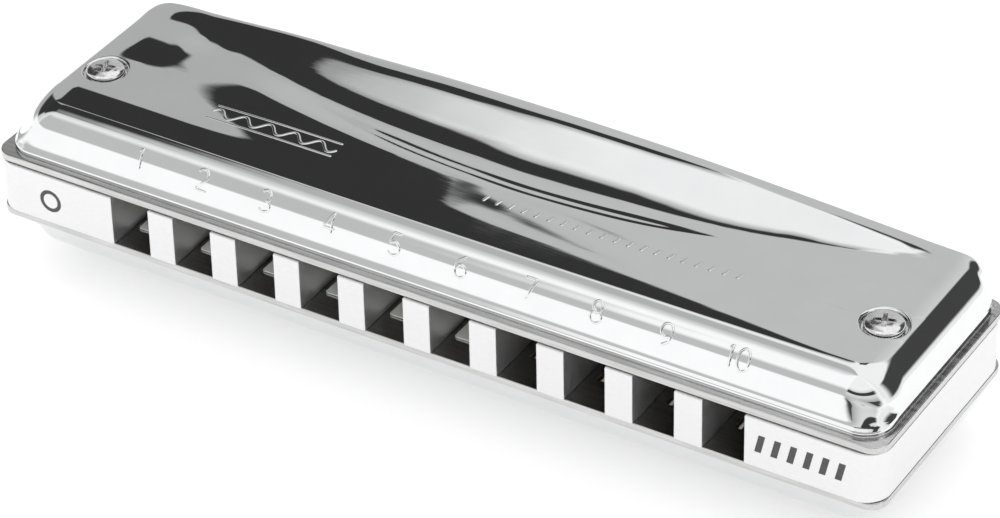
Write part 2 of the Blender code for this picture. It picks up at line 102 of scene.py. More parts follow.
BEVEL_ANGLE = math.radians(40)

# The covers' shape, the same as in the CAD
COVER_HALF = UPPER_COVER_HIGH.x
COVER_FRONT = 1.05 * MM
COVER_BACK = 27.0 * MM
COVER_SHEET = 0.5 * MM
LAND_RISE = 4.95 * MM
BACK_EDGE_RISE = 7.3 * MM
RIM_ARC_HALF = 47.0 * MM
CREASE_MIDDLE = 14.8 * MM
CREASE_BEND = 4.2
BULGE_EASE = 0.45
CREST_FROM = 23.5 * MM
CREST_SOFT = 1.7 * MM
COLLAR_HEIGHT = 0.65 * MM
COLLAR_FILLET = 0.2 * MM
FOOT_CORNER = 3.0 * MM
WALL_CORNER = 4.2 * MM
TOP_CORNER = 3.0 * MM
BACK_WALL_CORNER = 2.9 * MM
BACK_TOP_CORNER = 1.9 * MM
FRONT_INSET = 4.2 * MM
COVER_SCREW_X = 44.4 * MM
COVER_SCREW_Y = 12.1 * MM
THROUGH_HOLE = 1.15 * MM
DIMPLE_DEPTH = 0.55 * MM
DIMPLE_CELLS = 2.66 * MM
BACK_OPENING_HALF = 41.7 * MM

# Where the covers' grid lines run, and where they are closest together
GRID_HALF = 43.5 * MM
GRID_ROWS = (8.4 * MM, 21.0 * MM)
CREASE_ROWS = (13.3 * MM, 18.3 * MM)


def hole_x(hole):
    return HOLE_ROW_SHIFT + (hole - (HOLE_COUNT - 1) / 2) * HOLE_PITCH


def ease(value):
    """0 below 0, 1 above 1, smooth between."""
    clamped = np.clip(value, 0.0, 1.0)
    return clamped * clamped * (3 - 2 * clamped)


# Meshes

def link(name, mesh, material=None):
    piece = bpy.data.objects.new(name, mesh)
    bpy.context.scene.collection.objects.link(piece)
    if material:
        mesh.materials.clear()
        mesh.materials.append(material)
    return piece


def mesh_of(name, verts, faces, smooth=True):
    mesh = bpy.data.meshes.new(name)
    mesh.from_pydata([tuple(map(float, place)) for place in verts], [], faces)
    mesh.update()
    if smooth:
        mesh.shade_smooth()
    return mesh


def mesh_from(name, build, sharp=SHARP_ANGLE):
    shape = bmesh.new()
    build(shape)
    bmesh.ops.recalc_face_normals(shape, faces=shape.faces)
    mesh = bpy.data.meshes.new(name)
    shape.to_mesh(mesh)
    shape.free()
    mesh.shade_smooth()
    mesh.set_sharp_from_angle(angle=sharp)
    return mesh


def extrude_outline(shape, points, low, high):
    """Closed prism over an outline of (x, y) points, from height low to high."""
    floor = [shape.verts.new((x, y, low)) for x, y in points]
    face = shape.faces.new(floor)
    lifted = bmesh.ops.extrude_face_region(shape, geom=[face])["geom"]
    verts = [item for item in lifted if isinstance(item, bmesh.types.BMVert)]
    bmesh.ops.translate(shape, verts=verts, vec=(0, 0, high - low))


def join_rings(shape, rings, closed=False, caps=False):
    """Faces between rings of vertices. A ring of one vertex is a point."""
    pairs = list(zip(rings, rings[1:]))
    if closed:
        pairs.append((rings[-1], rings[0]))
    for near, far in pairs:
        count = max(len(near), len(far))
        for step in range(count):
            after = (step + 1) % count
            if len(near) == 1:
                shape.faces.new((near[0], far[step], far[after]))
            elif len(far) == 1:
                shape.faces.new((near[step], near[after], far[0]))
            else:
                shape.faces.new((near[step], near[after], far[after], far[step]))
    if caps:
        shape.faces.new(rings[0][::-1])
        shape.faces.new(rings[-1])


def turned(shape, profile, segments, closed=False, place=(0, 0, 0)):
    """Solid of revolution about an upright axis: a profile from axis to axis, or a closed loop."""
    at_x, at_y, at_z = place
    turns = [2 * math.pi * step / segments for step in range(segments)]
    rings = []
    for radius, height in profile:
        spots = [(radius * math.cos(a), radius * math.sin(a)) for a in turns] if radius else [(0, 0)]
        rings.append([shape.verts.new((at_x + x, at_y + y, at_z + height)) for x, y in spots])
    join_rings(shape, rings, closed)


def rounded_rectangle(half_x, low_y, high_y, radius, corner_steps):
    centres = ((half_x - radius, low_y + radius, -90), (half_x - radius, high_y - radius, 0),
               (radius - half_x, high_y - radius, 90), (radius - half_x, low_y + radius, 180))
    points = []
    for x, y, start in centres:
        for step in range(corner_steps + 1):
            angle = math.radians(start + 90 * step / corner_steps)
            points.append((x + radius * math.cos(angle), y + radius * math.sin(angle)))
    return points


def box_shape(shape, low, high):
    outline = ((low[0], low[1]), (high[0], low[1]), (high[0], high[1]), (low[0], high[1]))
    extrude_outline(shape, outline, low[2], high[2])


def drill_shape(shape, x, y, low, high, radius, segments=48):
    turned(shape, ((0, low), (radius, low), (radius, high), (0, high)), segments, place=(x, y, 0))


def carve(piece, build, crossing=False):
    """Cuts what build makes out of a piece for good; crossing if the cutter's shells cross."""
    mesh = mesh_from(piece.name + "_cut", build)
    tool = link(piece.name + "_cut", mesh)
    modifier = piece.modifiers.new("cut", "BOOLEAN")
    modifier.operation = "DIFFERENCE"
    modifier.solver = "EXACT"
    modifier.use_self = crossing
    modifier.object = tool
    apply_modifiers(piece)
    piece.data.set_sharp_from_angle(angle=SHARP_ANGLE)
    bpy.data.objects.remove(tool, do_unlink=True)
    bpy.data.meshes.remove(mesh)


def apply_modifiers(piece):
    graph = bpy.context.evaluated_depsgraph_get()
    graph.update()
    done = bpy.data.meshes.new_from_object(piece.evaluated_get(graph))
    old = piece.data
    piece.modifiers.clear()
    piece.data = done
    done.name = old.name + "_done"
    bpy.data.meshes.remove(old)


def soften_edges(piece, width, segments=2):
    """Small worn edges: a bevel on every sharp edge, with shading that keeps the faces flat."""
    bevel = piece.modifiers.new("edges", "BEVEL")
    bevel.width = width
    bevel.segments = segments
    bevel.limit_method = "ANGLE"
    bevel.angle_limit = BEVEL_ANGLE
    bevel.harden_normals = True
    bevel.miter_outer = "MITER_ARC"
    bevel.use_clamp_overlap = True


# Materials

EVEN = (1, 1, 1)


class Surface:
    """A Principled material whose colour, roughness and bumps each follow a noise.

    A grain is that noise's scale, then how each axis is stretched, then its detail.
    """

    def __init__(self, name, colour, metallic, roughness):
        self.material = bpy.data.materials.new(name)
        self.material.use_nodes = True
        self.nodes = self.material.node_tree.nodes
        self.links = self.material.node_tree.links
        self.shader = self.nodes["Principled BSDF"]
        self.fill(self.shader, {"Base Color": (*colour, 1), "Metallic": metallic,
                                "Roughness": roughness})
        self.normal = None

    def fill(self, node, inputs):
        """Sets a node's inputs to values, or links them to sockets."""
        for name, value in inputs.items():
            if isinstance(value, bpy.types.NodeSocket):
                self.links.new(value, node.inputs[name])
            else:
                node.inputs[name].default_value = value
        return node.outputs

    def noise(self, scale, stretch=EVEN, detail=3):
        coords = self.nodes.new("ShaderNodeTexCoord").outputs["Object"]
        spots = self.fill(self.nodes.new("ShaderNodeMapping"), {"Vector": coords, "Scale": stretch})
        texture = self.nodes.new("ShaderNodeTexNoise")
        return self.fill(texture, {"Vector": spots["Vector"], "Scale": scale, "Detail": detail,
                                   "Roughness": 0.55})["Fac"]

    def spread(self, low, high, grain):
        """A noise's usual values, spread out to run from low to high."""
        node = self.nodes.new("ShaderNodeMapRange")
        return self.fill(node, {"Value": self.noise(*grain), "From Min": 0.3, "From Max": 0.7,
                                "To Min": low, "To Max": high})["Result"]

    def tint(self, dark, light, *grain):
        mix = self.nodes.new("ShaderNodeMix")
        mix.data_type = "RGBA"
        mixed = self.fill(mix, {"Factor": self.spread(0, 1, grain), "A": (*dark, 1), "B": (*light, 1)})
        self.fill(self.shader, {"Base Color": mixed["Result"]})

    def roughen(self, low, high, *grain):
        self.fill(self.shader, {"Roughness": self.spread(low, high, grain)})

    def bump(self, height, *grain):
        """Adds a bump of the given height in metres on top of those already there."""
        inputs = {"Distance": height, "Height": self.noise(*grain)}
        if self.normal:
            inputs["Normal"] = self.normal
        self.normal = self.fill(self.nodes.new("ShaderNodeBump"), inputs)["Normal"]
        self.fill(self.shader, {"Normal": self.normal})


# Colour, metallic and roughness, then a tint, a roughening and bumps. A tint and a roughening are
# two ends and a grain, and a bump is a height in millimetres and a grain.
SURFACES = {
    "mirror_chrome": (
        (0.8, 0.805, 0.81), 1.0, 0.02, ((0.785, 0.79, 0.795), (0.815, 0.82, 0.825), 220),
        (0.012, 0.03, 900, (1, 3, 1)), (0.012, 160, EVEN, 1), (0.0006, 2500, (0.15, 1, 1), 2)),
    "satin_aluminium": (
        (0.8, 0.8, 0.805), 1.0, 0.42,
        ((0.785, 0.785, 0.79), (0.815, 0.815, 0.82), 5200, (0.3, 1, 1), 4),
        (0.38, 0.47, 1400, (0.3, 1, 1)), (0.0016, 9000, (0.2, 1, 1), 4), (0.0016, 3600)),
    "plated_brass": (
        (0.84, 0.84, 0.83), 1.0, 0.18, ((0.52, 0.52, 0.515), (0.66, 0.66, 0.655), 3600, (0.05, 1, 1)),
        (0.13, 0.26, 1200, (0.2, 1, 1)), (0.002, 7000, (0.05, 1, 1))),
    "reed_bronze": (
        (0.66, 0.53, 0.38), 1.0, 0.25, ((0.58, 0.45, 0.31), (0.74, 0.61, 0.46), 4200, (1, 0.06, 1)),
        (0.18, 0.36, 1800, (1, 0.1, 1)), (0.003, 8000, (1, 0.04, 1))),
    "valve_film": (
        (0.86, 0.87, 0.84), 0.0, 0.38, ((0.8, 0.81, 0.77), (0.9, 0.91, 0.89), 900, EVEN, 4),
        (0.3, 0.5, 2600), (0.003, 5200)),
    "screw_steel": (
        (0.8, 0.8, 0.8), 1.0, 0.12, ((0.68, 0.68, 0.68), (0.86, 0.86, 0.86), 2400, EVEN, 4),
        (0.07, 0.22, 3200), (0.006, 3000)),
    "screw_brass": (
        (0.76, 0.6, 0.32), 1.0, 0.22, ((0.66, 0.5, 0.25), (0.84, 0.69, 0.4), 2000, EVEN, 4),
        (0.15, 0.34, 3000), (0.006, 3600)),
    "grey_ink": (
        (0.05, 0.05, 0.053), 0.0, 0.55, ((0.04, 0.04, 0.043), (0.065, 0.065, 0.068), 4000, EVEN, 4),
        (0.4, 0.6, 5000), (0.002, 7000)),
}


def surface(name, inputs=()):
    """A material from the table above, with any more inputs of its shader."""
    colour, metallic, roughness, tint, rough, *bumps = SURFACES[name]
    made = Surface(name, colour, metallic, roughness)
    made.fill(made.shader, dict(inputs))
    made.tint(*tint)
    made.roughen(*rough)
    for height, *grain in bumps:
        made.bump(height * MM, *grain)
    return made.material


# Covers

class Side:
    """Wall profile of one side of a cover: collar, step over it, wall, then a round shoulder."""

    def __init__(self, step, shoulder_radius, shoulder_inset, wall_angle):
        self.step = step
        self.radius = shoulder_radius
        self.inset = shoulder_inset
        self.wall_angle = wall_angle

    def rings(self, collar, walls, shoulders):
        """Arrays of inset, height over the foot, drop under the top, share of drop used, and slope."""
        top = COLLAR_HEIGHT + COLLAR_FILLET
        wall = math.radians(self.wall_angle)
        shoulder_inset = self.inset - self.radius * math.sin(wall)
        shoulder_drop = self.radius * (1 - math.cos(wall))
        rows = []
        for part in np.linspace(0, 1, collar):
            inset = self.step * float(ease((part - 0.5) / 0.5))
            rows.append((inset, top * part, 0.0, 0.0, wall))
        for part in np.linspace(0, 1, walls + 2)[1:-1]:
            inset = self.step + (shoulder_inset - self.step) * part
            rise = top + (LAND_RISE - shoulder_drop - top) * part
            rows.append((inset, rise, LAND_RISE - rise, part, wall))
        for angle in wall * (1 - np.linspace(0, 1, shoulders)):
            inset = self.inset - self.radius * math.sin(angle)
            drop = self.radius * (1 - math.cos(angle))
            rows.append((inset, LAND_RISE - drop, drop, 1.0, angle))
        return np.array(rows)


FRONT_SIDE = Side(0.4 * MM, 3.2 * MM, FRONT_INSET, 72)
END_SIDE = Side(0.04 * MM, 2.5 * MM, 2.55 * MM, 88)
BACK_SIDE = Side(0.04 * MM, 1.4 * MM, 1.5 * MM, 88)


def ramp(value):
    """The area under ease, up to value."""
    early = np.clip(value, 0.0, 1.0)
    return early ** 3 - early ** 4 / 2 + np.maximum(value - 1, 0)


def stretch(place, start, stop, soft):
    """How much of start to stop lies before a place, with soft ends."""
    return soft * (ramp((place - start) / soft) - ramp((place - stop) / soft))


def window(value, start, rise, stop, fall):
    """1 inside a span, from 0 before start and back to 0 after stop, over rise and fall."""
    return ease((value - start) / rise) * (1 - ease((value - stop) / fall))


def pressing_relief(x, depth):
    """Small heights that the press left in the flat land, which steer what the chrome mirrors."""
    x, depth = x / MM, depth / MM
    bay = 7 * (1 - ease((depth - 8) / 9))
    left = ease((x + 39 - bay) / 13)
    right = 1 - 0.45 * ease((x + 3) / 8) - 0.55 * ease((x - 6) / 24)
    hollow_end = 12.6 + 0.0036 * x * x
    uphill = stretch(depth, 7.6, hollow_end, 0.6)
    downhill = stretch(depth, hollow_end + 0.5, hollow_end + 3.5, 0.8)
    hollow = math.tan(math.radians(3.3)) * left * right * (uphill - 0.75 * downhill)
    front_end = 8.3 - 2.7 * np.clip((x - 4) / 38, 0, 1) ** 1.3
    front_slope = math.tan(math.radians(3.4)) * 0.6 * (ramp((front_end - depth) / 0.6)
                                                       - ramp((3.3 - depth) / 0.6))
    swell = 0.26 * ease((depth - 14) / 6) * window(x, -47, 3, -42, 8)
    fade = 1 - ease((np.abs((x - 2) / 26) - 0.45) / 0.55)
    fold_line = 14.2 + 0.005 * (x - 2) ** 2
    folds = 0
    for side, height, width in ((-1, 0.045, 0.55), (1, 0.065, 0.85)):
        place = fold_line + side * 0.45 * fade
        folds = folds + height * fade * ease((depth - place) / width + 0.5)
    worn = window(x, -1, 5, 16, 10) * window(depth, 7.6, 1.5, 11.5, 1.5)
    waves = 0.022 * worn * np.sin(0.28 * x + 1.3 * depth - 2)
    kink = window(x, 29, 4, 40, 2.2)
    crease_line = 0.022 * kink * ease((depth - 11.9 - 0.004 * (x - 36) ** 2) / 0.4)
    corner_swell = 0.11 * ease((depth - 22.2) / 3) * ease((-x - 40) / 4)
    end_roll = 0.3 * (np.maximum(np.abs(x) - 45, 0) / 2.1) ** 2
    return (hollow - front_slope + swell + folds + waves + crease_line + corner_swell - end_roll) * MM


def top_rise(x, depth):
    """Height of a cover's outer face over its foot, at x and a distance behind the comb's front."""
    crease = CREASE_MIDDLE + CREASE_BEND * x * x
    land = LAND_RISE + pressing_relief(x, depth)
    foot = LAND_RISE + pressing_relief(x, crease)
    span = np.maximum(COVER_BACK - crease, 1e-6)
    rim = LAND_RISE + (BACK_EDGE_RISE - LAND_RISE) * np.maximum(1 - (x / RIM_ARC_HALF) ** 2, 0.0)
    part = np.maximum(depth - crease, 0) / span
    steady = (rim - foot) / (1 - BULGE_EASE / 2)
    bulge = steady * BULGE_EASE * ramp(part / BULGE_EASE)
    crest_from = CREST_FROM + 1.2 * MM * ease((-x / MM - 18) / 15)
    crest = steady / span * CREST_SOFT * ramp((depth - crest_from) / CREST_SOFT)
    return land + np.where(COVER_BACK > crease, bulge - crest, 0)


def side_stations(low, high, fixed, extra):
    """Places along one side: the fixed ones, with a few more out to low and high at its two ends."""
    before = np.linspace(low, fixed[0], extra, endpoint=False)
    after = np.linspace(fixed[-1], high, extra + 1)[1:]
    return np.concatenate((before, fixed, after))


def cover_outline(end, front, back, radius, back_radius, columns, rows, corner_steps, extra):
    """One closed ring of (x, depth, facing angle) from the front left corner's middle."""
    left, right = -COVER_HALF + end, COVER_HALF - end
    near, far = COVER_FRONT + front, COVER_BACK - back
    across = side_stations(left + radius, right - radius, columns, extra)
    across_back = side_stations(left + back_radius, right - back_radius, columns, extra)
    along = side_stations(near + radius, far - back_radius, rows, extra)
    arcs = []
    corners = ((left + radius, near + radius, 180, radius),
               (right - radius, near + radius, 270, radius),
               (right - back_radius, far - back_radius, 0, back_radius),
               (left + back_radius, far - back_radius, 90, back_radius))
    for x, y, start, radius in corners:
        angle = np.radians(start + np.linspace(0, 90, corner_steps + 1))
        arcs.append(np.stack((x + radius * np.cos(angle), y + radius * np.sin(angle), angle), 1))
    runs = []
    for places, level, angle, sideways in (
            (across, near, 270, False), (along, right, 0, True),
            (across_back[::-1], far, 90, False), (along[::-1], left, 180, True)):
        fixed = np.full(len(places), level)
        turn = np.full(len(places), math.radians(angle))
        pair = (fixed, places) if sideways else (places, fixed)
        runs.append(np.stack((*pair, turn), 1))
    ring = np.concatenate([np.concatenate((arc[:-1], run[:-1])) for arc, run in zip(arcs, runs)])
    return np.roll(ring, -(corner_steps // 2), axis=0)


def corner_radius(part, wall, top):
    rising = FOOT_CORNER + (wall - FOOT_CORNER) * min(part * 4, 1)
    return rising + (top - wall) * max(part * 4 - 1, 0) / 3


class Sheet:
    """A cover's outer face as one open sheet, with its foot at height 0."""

    def __init__(self, columns, rows, shoulders, corner_steps=12, collar=9, walls=4, extra=5):
        self.columns, self.rows, self.shoulders = columns, rows, shoulders
        self.corner_steps, self.collar, self.walls, self.extra = corner_steps, collar, walls, extra
        self.across = len(columns) + 2 * extra - 1
        self.along = len(rows) + 2 * extra - 1
        self.verts, self.faces, self.count = [], [], 0
        self.build()

    def add(self, places):
        start = self.count
        self.verts.append(places)
        self.count += len(places)
        return np.arange(start, self.count)

    def build(self):
        profile = [side.rings(self.collar, self.walls, self.shoulders)
                   for side in (FRONT_SIDE, END_SIDE, BACK_SIDE)]
        front, end, back = profile
        ring_count = len(front)
        rings = []
        for index in range(ring_count):
            low = index < self.collar
            part = 0 if low else (index - self.collar + 1) / (ring_count - self.collar)
            radius = FOOT_CORNER if low else corner_radius(part, WALL_CORNER, TOP_CORNER)
            back_radius = FOOT_CORNER if low else corner_radius(part, BACK_WALL_CORNER, BACK_TOP_CORNER)
            ring = cover_outline(end[index, 0], front[index, 0], back[index, 0], radius, back_radius,
                                 self.columns, self.rows, self.corner_steps, self.extra)
            x, depth, angle = ring.T
            lengthways = np.sin(angle) ** 2
            ahead = np.where(np.sin(angle) > 0, 0, 1)
            facing = [lengthways * ahead, 1 - lengthways, lengthways * (1 - ahead)]
            height = sum(weight * side[index, 1] for weight, side in zip(facing, profile))
            lift = sum(weight * side[index, 3] for weight, side in zip(facing, profile))
            height = height + lift * (top_rise(x, depth) - LAND_RISE)
            rings.append(self.add(np.stack((x, FRONT_Y + depth, height), 1)))
        self.join_rings(rings)
        self.fill_top(rings[-1])

    def join_rings(self, rings):
        count = len(rings[0])
        back_start = self.across + self.along + 3 * self.corner_steps - self.corner_steps // 2
        x = np.concatenate(self.verts)[rings[0]][:, 0]
        window = {step for step in range(back_start, back_start + self.across)
                  if abs(x[step]) < BACK_OPENING_HALF}
        open_rings = self.collar + self.walls
        for index, (outer, inner) in enumerate(zip(rings, rings[1:])):
            for step in range(count):
                if index < open_rings and step in window:
                    continue
                after = (step + 1) % count
                self.faces.append((outer[step], outer[after], inner[after], inner[step]))

    def fill_top(self, ring):
        """Grid over the inside of the top ring, lofted between its four sides, with screw dimples."""
        across = self.across + self.corner_steps
        up = self.along + self.corner_steps
        made = np.concatenate(self.verts)
        front = ring[:across + 1]
        right = ring[across:across + up + 1]
        back = ring[across + up:2 * across + up + 1][::-1]
        left = np.concatenate((ring[:1], ring[2 * across + up:][::-1]))
        u = self.shares(made[front][:, 0])[:, None, None]
        v = self.shares(made[right][:, 1])[None, :, None]
        f, b, l, r = (made[side] for side in (front, back, left, right))
        grid = ((1 - v) * f[:, None] + v * b[:, None] + (1 - u) * l[None] + u * r[None]
                - (1 - u) * (1 - v) * f[0] - u * (1 - v) * f[-1] - (1 - u) * v * b[0] - u * v * b[-1])
        depth = grid[..., 1] - FRONT_Y
        grid[..., 2] = top_rise(grid[..., 0], depth)
        ids = np.zeros(grid.shape[:2], int)
        ids[:, 0], ids[:, -1], ids[0], ids[-1] = front, back, left, right
        ids[1:-1, 1:-1] = self.add(grid[1:-1, 1:-1].reshape(-1, 3)).reshape(across - 1, up - 1)
        grid[:, 0], grid[:, -1], grid[0], grid[-1] = f, b, l, r
        taken = np.zeros((across, up), bool)
        for screw_x in (-COVER_SCREW_X, COVER_SCREW_X):
            self.sink_screw(grid, ids, taken, screw_x)
        for i in range(across):
            for j in range(up):
                if not taken[i, j]:
                    self.faces.append((ids[i, j], ids[i + 1, j], ids[i + 1, j + 1], ids[i, j + 1]))

    @staticmethod
    def shares(values):
        return (values - values[0]) / (values[-1] - values[0])

    def sink_screw(self, grid, ids, taken, screw_x):
        """Swaps the grid round a screw for a round dimple with a hole, joined to a block of cells."""
        screw_y = FRONT_Y + COVER_SCREW_Y
        middle = grid.shape[1] // 2
        off_x = grid[:, middle, 0] - screw_x
        off_y = grid[grid.shape[0] // 2, :, 1] - screw_y
        i0 = max(np.flatnonzero(off_x <= -DIMPLE_CELLS)[-1:], default=0)
        i1 = min(np.flatnonzero(off_x >= DIMPLE_CELLS)[:1], default=grid.shape[0] - 1)
        j0 = np.flatnonzero(off_y <= -DIMPLE_CELLS)[-1]
        j1 = np.flatnonzero(off_y >= DIMPLE_CELLS)[0]
        taken[i0:i1, j0:j1] = True
        loop = ([(i, j0) for i in range(i0, i1)] + [(i1, j) for j in range(j0, j1)]
                + [(i, j1) for i in range(i1, i0, -1)] + [(i0, j) for j in range(j1, j0, -1)])
        rim = np.array([ids[i, j] for i, j in loop])
        turn = np.array([math.atan2(grid[i, j, 1] - screw_y, grid[i, j, 0] - screw_x) for i, j in loop])
        for radius, sink in dimple_profile():
            x, y = screw_x + radius * np.cos(turn), screw_y + radius * np.sin(turn)
            uneven = (top_rise(x, y - FRONT_Y) - LAND_RISE) * (1 - sink / DIMPLE_DEPTH)
            places = np.stack((x, y, LAND_RISE + uneven - sink), 1)
            inner = self.add(places)
            for step in range(len(rim)):
                after = (step + 1) % len(rim)
                self.faces.append((rim[step], rim[after], inner[after], inner[step]))
            rim = inner

    def finished(self, foot_z, upside_down):
        verts = np.concatenate(self.verts)
        verts[:, 2] = foot_z + (-verts[:, 2] if upside_down else verts[:, 2])
        faces = [tuple(int(v) for v in (face[::-1] if upside_down else face)) for face in self.faces]
        return verts, faces


def dimple_profile():
    """(radius, depth) from the flat land down the dimple's wall and over its floor to the hole."""
    wall = 2.3 * MM
    flare = 0.3 * MM
    points = [(wall + flare + 0.02 * MM, 0.0)]
    for turn in np.radians(np.arange(0, 81, 10)):
        points.append((wall + flare * (1 - math.sin(turn)), flare * (1 - math.cos(turn))))
    foot = 0.12 * MM
    for turn in np.radians(np.arange(0, 91, 18)):
        points.append((wall - 0.03 * MM - foot * (1 - math.cos(turn)),
                       DIMPLE_DEPTH - foot + foot * math.sin(turn)))
    points += [(1.7 * MM, DIMPLE_DEPTH), (THROUGH_HOLE, DIMPLE_DEPTH)]
    return points


# Pressed numbers and marks

def arc(x, y, rx, ry, start, stop, steps=14):
    turn = np.radians(np.linspace(start, stop, steps))
    return list(zip(x + rx * np.cos(turn), y + ry * np.sin(turn)))


# Strokes of each digit in a box 1 high, with y up and x centred
DIGITS = {
    "0": [arc(0, 0.5, 0.27, 0.48, 90, 450, 28)],
    "1": [[(-0.1, 0.82), (0.04, 0.98), (0.04, 0.02)]],
    "2": [arc(0, 0.72, 0.26, 0.26, 160, -30) + [(-0.26, 0.02), (0.3, 0.02)]],
    "3": [arc(-0.02, 0.74, 0.24, 0.24, 150, -80), arc(-0.02, 0.27, 0.27, 0.25, 80, -150)],
    "4": [[(0.14, 0.02), (0.14, 0.98), (-0.3, 0.28), (0.32, 0.28)]],
    "5": [[(0.24, 0.98), (-0.16, 0.98), (-0.22, 0.56)] + arc(-0.02, 0.32, 0.28, 0.3, 130, -150)],
    "6": [[(0.16, 0.98)] + arc(0.02, 0.32, 0.28, 0.56, 130, 180, 6)
          + arc(0, 0.3, 0.26, 0.28, 180, 540, 24)],
    "7": [[(-0.26, 0.98), (0.28, 0.98), (-0.06, 0.02)]],
    "8": [arc(0, 0.75, 0.2, 0.22, -90, 270, 24), arc(0, 0.27, 0.26, 0.26, 90, 450, 26)],
    "9": [arc(0, 0.7, 0.26, 0.28, 0, 360, 24),
          arc(-0.02, 0.68, 0.28, 0.56, 0, -50, 6) + [(-0.16, 0.02)]],
}
NUMBER_HEIGHT = 2.3 * MM
NUMBER_MIDDLE = 3.3 * MM
BEAD_STEP = 0.07 * MM


def resampled(points, step):
    """Points the same distance apart along a run of straight strokes."""
    points = np.array(points, float)
    lengths = np.concatenate(([0], np.cumsum(np.hypot(*np.diff(points, axis=0).T))))
    places = np.linspace(0, lengths[-1], max(int(lengths[-1] / step), 4) + 1)
    return np.stack([np.interp(places, lengths, points[:, axis]) for axis in (0, 1)], 1)


def bead(shape, points, surface, half, rise):
    """A raised line with round ends along points (u, v) of a surface, sunk a little into it."""
    path = resampled(points, BEAD_STEP)
    flow = np.gradient(path, axis=0)
    flow /= np.hypot(*flow.T)[:, None] + 1e-12
    nudge = 0.02 * MM
    steps = len(path) - 1
    ends = np.minimum(np.arange(steps + 1), np.arange(steps, -1, -1)) * BEAD_STEP / half
    full = np.sqrt(np.clip(1 - (1 - np.minimum(ends, 1)) ** 2, 0.04, 1))
    closed = np.hypot(*(path[0] - path[-1])) < 0.01 * MM
    rings = []
    for (u, v), (along_u, along_v), size in zip(path, flow, np.ones_like(full) if closed else full):
        place = surface(u, v)
        side_u = (surface(u + nudge, v) - place) / nudge
        side_v = (surface(u, v + nudge) - place) / nudge
        normal = np.cross(side_u, side_v)
        normal /= np.linalg.norm(normal)
        across = side_v * along_u - side_u * along_v
        ring = [place - normal * 0.04 * MM - across * half * size]
        for turn in np.radians((180, 150, 120, 90, 60, 30, 0)):
            offset = across * half * math.cos(turn) + normal * rise * math.sin(turn)
            ring.append(place + offset * size)
        ring.append(place - normal * 0.04 * MM + across * half * size)
        rings.append([shape.verts.new(tuple(map(float, spot))) for spot in ring])
    if closed:
        for vert in rings.pop():
            shape.verts.remove(vert)
    join_rings(shape, rings, closed, caps=not closed)


def shoulder_surface(x, up):
    """Place on the upper cover's front shoulder, at a distance along it from its lower end."""
    inset, rise, share = (np.interp(up, SHOULDER_UP, SHOULDER[:, column]) for column in (0, 1, 3))
    depth = COVER_FRONT + inset
    height = rise + share * (float(top_rise(np.float64(x), depth)) - LAND_RISE)
    return np.array((x, FRONT_Y + depth, UPPER_COVER_LOW.z + height))


def land_surface(x, depth):
    return np.array((x, FRONT_Y + depth, UPPER_COVER_LOW.z + float(top_rise(np.float64(x), depth))))


SHOULDER = FRONT_SIDE.rings(9, 40, 120)
SHOULDER_UP = np.concatenate(([0], np.cumsum(np.hypot(*np.diff(SHOULDER[:, :2], axis=0).T))))


def number_beads(shape):
    """The hole numbers, embossed on the front shoulder."""
    middle = SHOULDER_UP[-1] - NUMBER_MIDDLE
    for hole in range(HOLE_COUNT):
        text = str(hole + 1)
        for place, digit in enumerate(text):
            centre = hole_x(hole) + (place - (len(text) - 1) / 2) * 0.62 * NUMBER_HEIGHT
            for stroke in DIGITS[digit]:
                points = [(centre + x * NUMBER_HEIGHT, middle + (y - 0.5) * NUMBER_HEIGHT)
                          for x, y in stroke]
                bead(shape, points, shoulder_surface, 0.155 * MM, 0.07 * MM)


def ornament_beads(shape):
    """A plain ornament on the land: a wave between two lines, and a row of short ribs."""
    left, long, waves = -30.5 * MM, 15 * MM, 5
    for depth in (9.9 * MM, 12.1 * MM):
        bead(shape, [(left, depth), (left + long, depth)], land_surface, 0.13 * MM, 0.05 * MM)
    wave = [(left + long * part, 11 * MM + 0.6 * MM * math.sin(part * math.tau * waves))
            for part in np.linspace(0, 1, 120)]
    bead(shape, wave, land_surface, 0.16 * MM, 0.06 * MM)
    lean, reach = 0.25 * MM, 0.55 * MM
    for step in range(20):
        along = 1.45 * step
        x, depth = (1.5 + along) * MM, (11.2 + 0.0011 * along ** 2) * MM
        bead(shape, [(x, depth - reach), (x + lean, depth + reach)], land_surface, 0.2 * MM, 0.055 * MM)


def spaced(low, high, fine_spans, fine, coarse):
    """Places from low to high, fine apart inside the spans and coarse apart elsewhere."""
    places = [low]
    while places[-1] < high:
        inside = any(a <= places[-1] <= b for a, b in fine_spans)
        places.append(places[-1] + (fine if inside else coarse))
    places = np.array(places)
    return low + (places - low) * (high - low) / (places[-1] - low)


def build_cover(name, foot_z, upside_down, material):
    """A cover's shell; the lower one has a coarser grid, because it is mostly hidden."""
    if upside_down:
        column, row, fine_rows = 0.75 * MM, 0.5 * MM, []
        bands = {"shoulders": 20}
    else:
        column, row, fine_rows = 0.42 * MM, 0.3 * MM, [CREASE_ROWS]
        bands = {"shoulders": 24, "collar": 7, "walls": 3}
    columns = spaced(-GRID_HALF, GRID_HALF, [], column, column)
    rows = spaced(*GRID_ROWS, fine_rows, 0.1 * MM, row)
    sheet = Sheet(columns, rows, **bands)
    verts, faces = sheet.finished(foot_z, upside_down)
    cover = link(name, mesh_of(name, verts, faces), material)
    thicken = cover.modifiers.new("sheet", "SOLIDIFY")
    thicken.thickness = COVER_SHEET
    thicken.offset = -1
    thicken.use_rim = True
    return cover


# Pieces

def keep(piece, body, slot, *nodes):
    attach(piece, body)
    if nodes:
        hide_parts(*nodes)
    return piece


